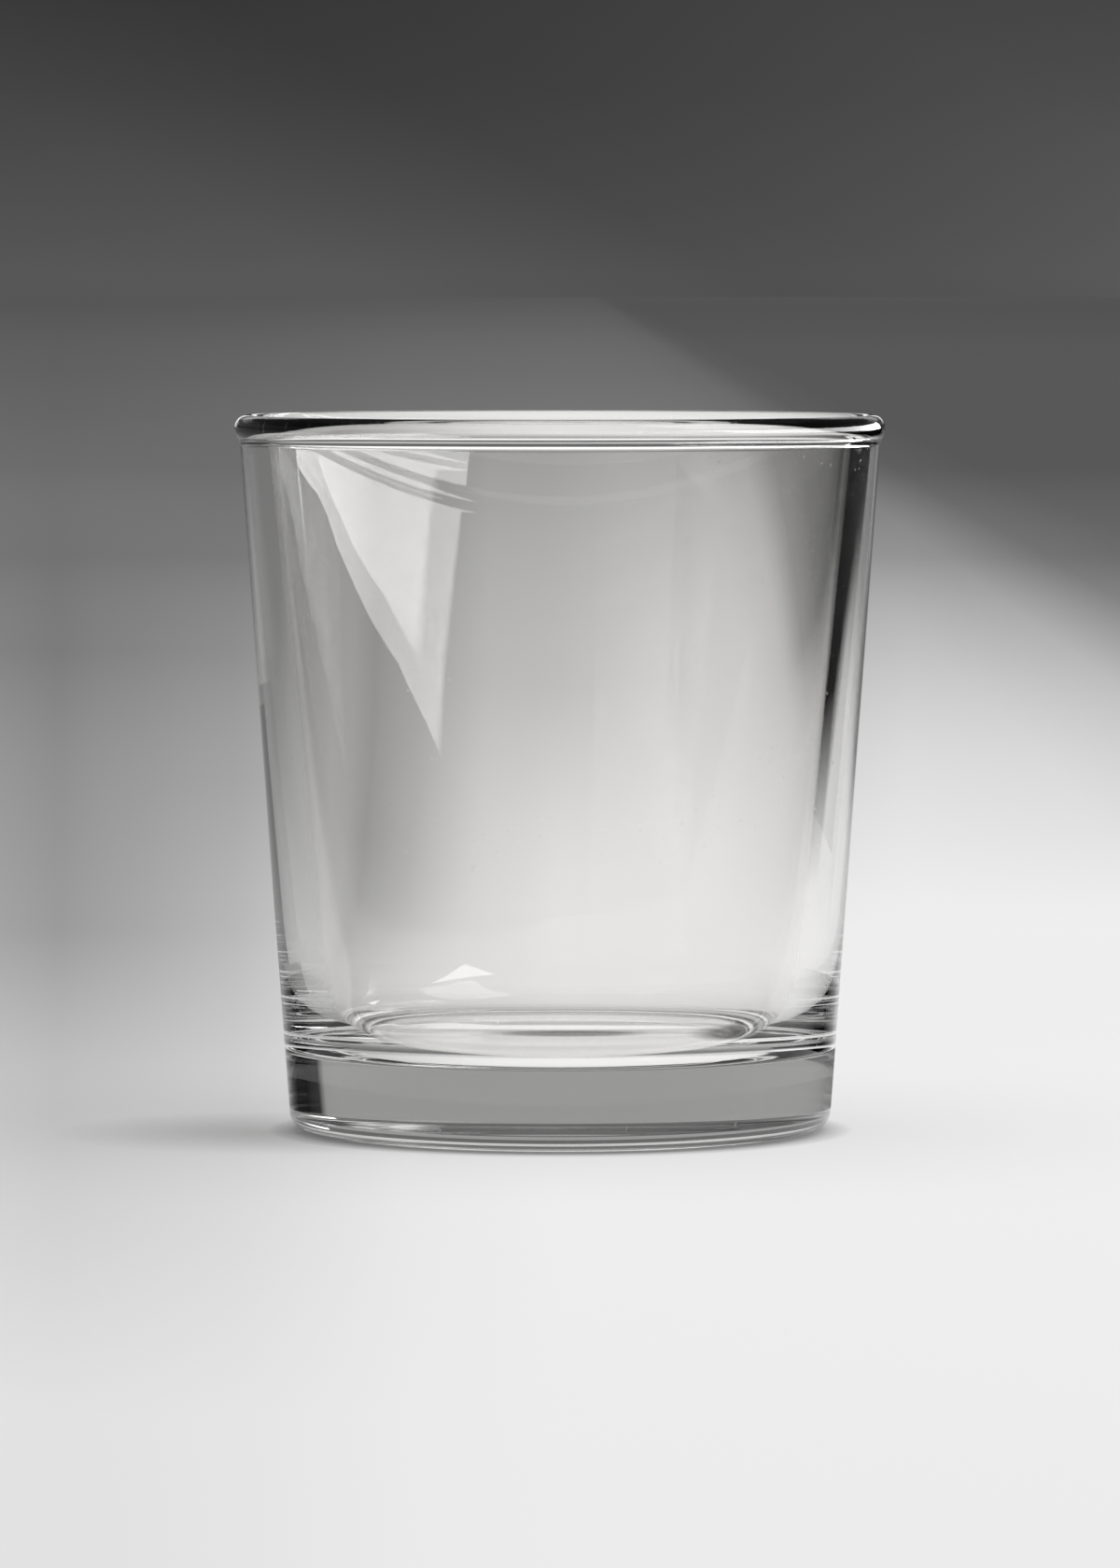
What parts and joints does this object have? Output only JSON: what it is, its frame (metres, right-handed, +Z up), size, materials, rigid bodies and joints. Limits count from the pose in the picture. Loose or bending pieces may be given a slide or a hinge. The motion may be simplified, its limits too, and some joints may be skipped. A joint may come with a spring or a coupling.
{
  "type": "rocks glass",
  "caption": "Straight tapered rocks glass in clear pressed glass, with a heavy base, a rounded heel on a low foot ring and a round bead at the rim, for holding a short drink.",
  "frame": {"origin": "centre of the foot ring, on the surface that the glass stands on", "axes": "+Z up along the axis of the glass, X and Y anywhere around it because the glass is round"},
  "size_m": [0.084, 0.084, 0.0926],
  "materials": {
    "clear_glass": "clear, fire-polished, glossy"
  },
  "bodies": {
    "root": {"glass_body": "clear_glass"}
  },
  "joints": []
}
